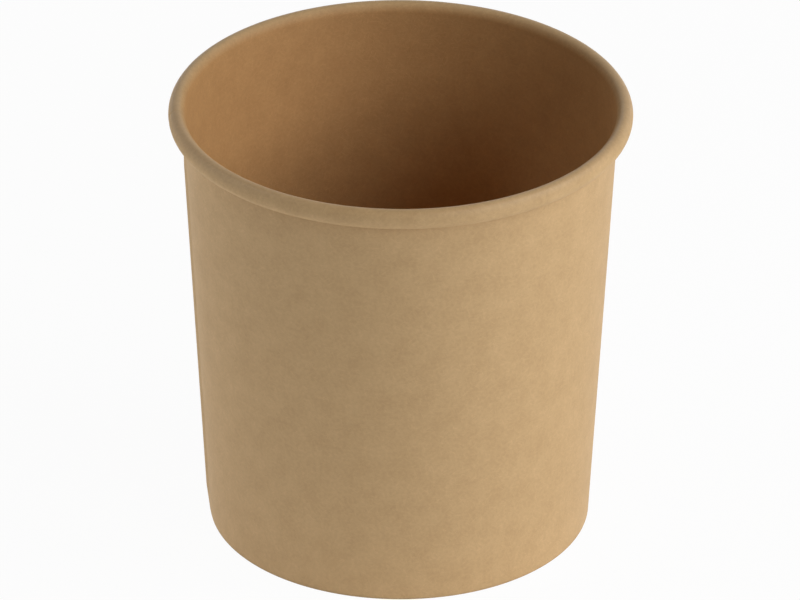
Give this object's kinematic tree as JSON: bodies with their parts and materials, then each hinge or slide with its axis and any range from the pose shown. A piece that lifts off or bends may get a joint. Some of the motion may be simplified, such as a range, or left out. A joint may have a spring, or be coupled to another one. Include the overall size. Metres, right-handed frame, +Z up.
{
  "type": "disposable soup cup",
  "caption": "Tapered brown-board soup cup with an outward rolled rim, a lapped side seam and a recessed base, for hot soup to take away.",
  "frame": {"origin": "centre of the standing ring, on the floor that the cup stands on", "axes": "+Z up out of the mouth along the cup's axis; +X to the right in the picture's view, and the lapped seam lies 176 degrees round from +X by way of +Y, on the left there"},
  "size_m": [0.098, 0.098, 0.0975],
  "materials": {
    "brown_board": "matte, faintly mottled, with a thin clear lining inside"
  },
  "bodies": {
    "root": {"sidewall": "brown_board", "base_disc": "brown_board"}
  },
  "joints": []
}
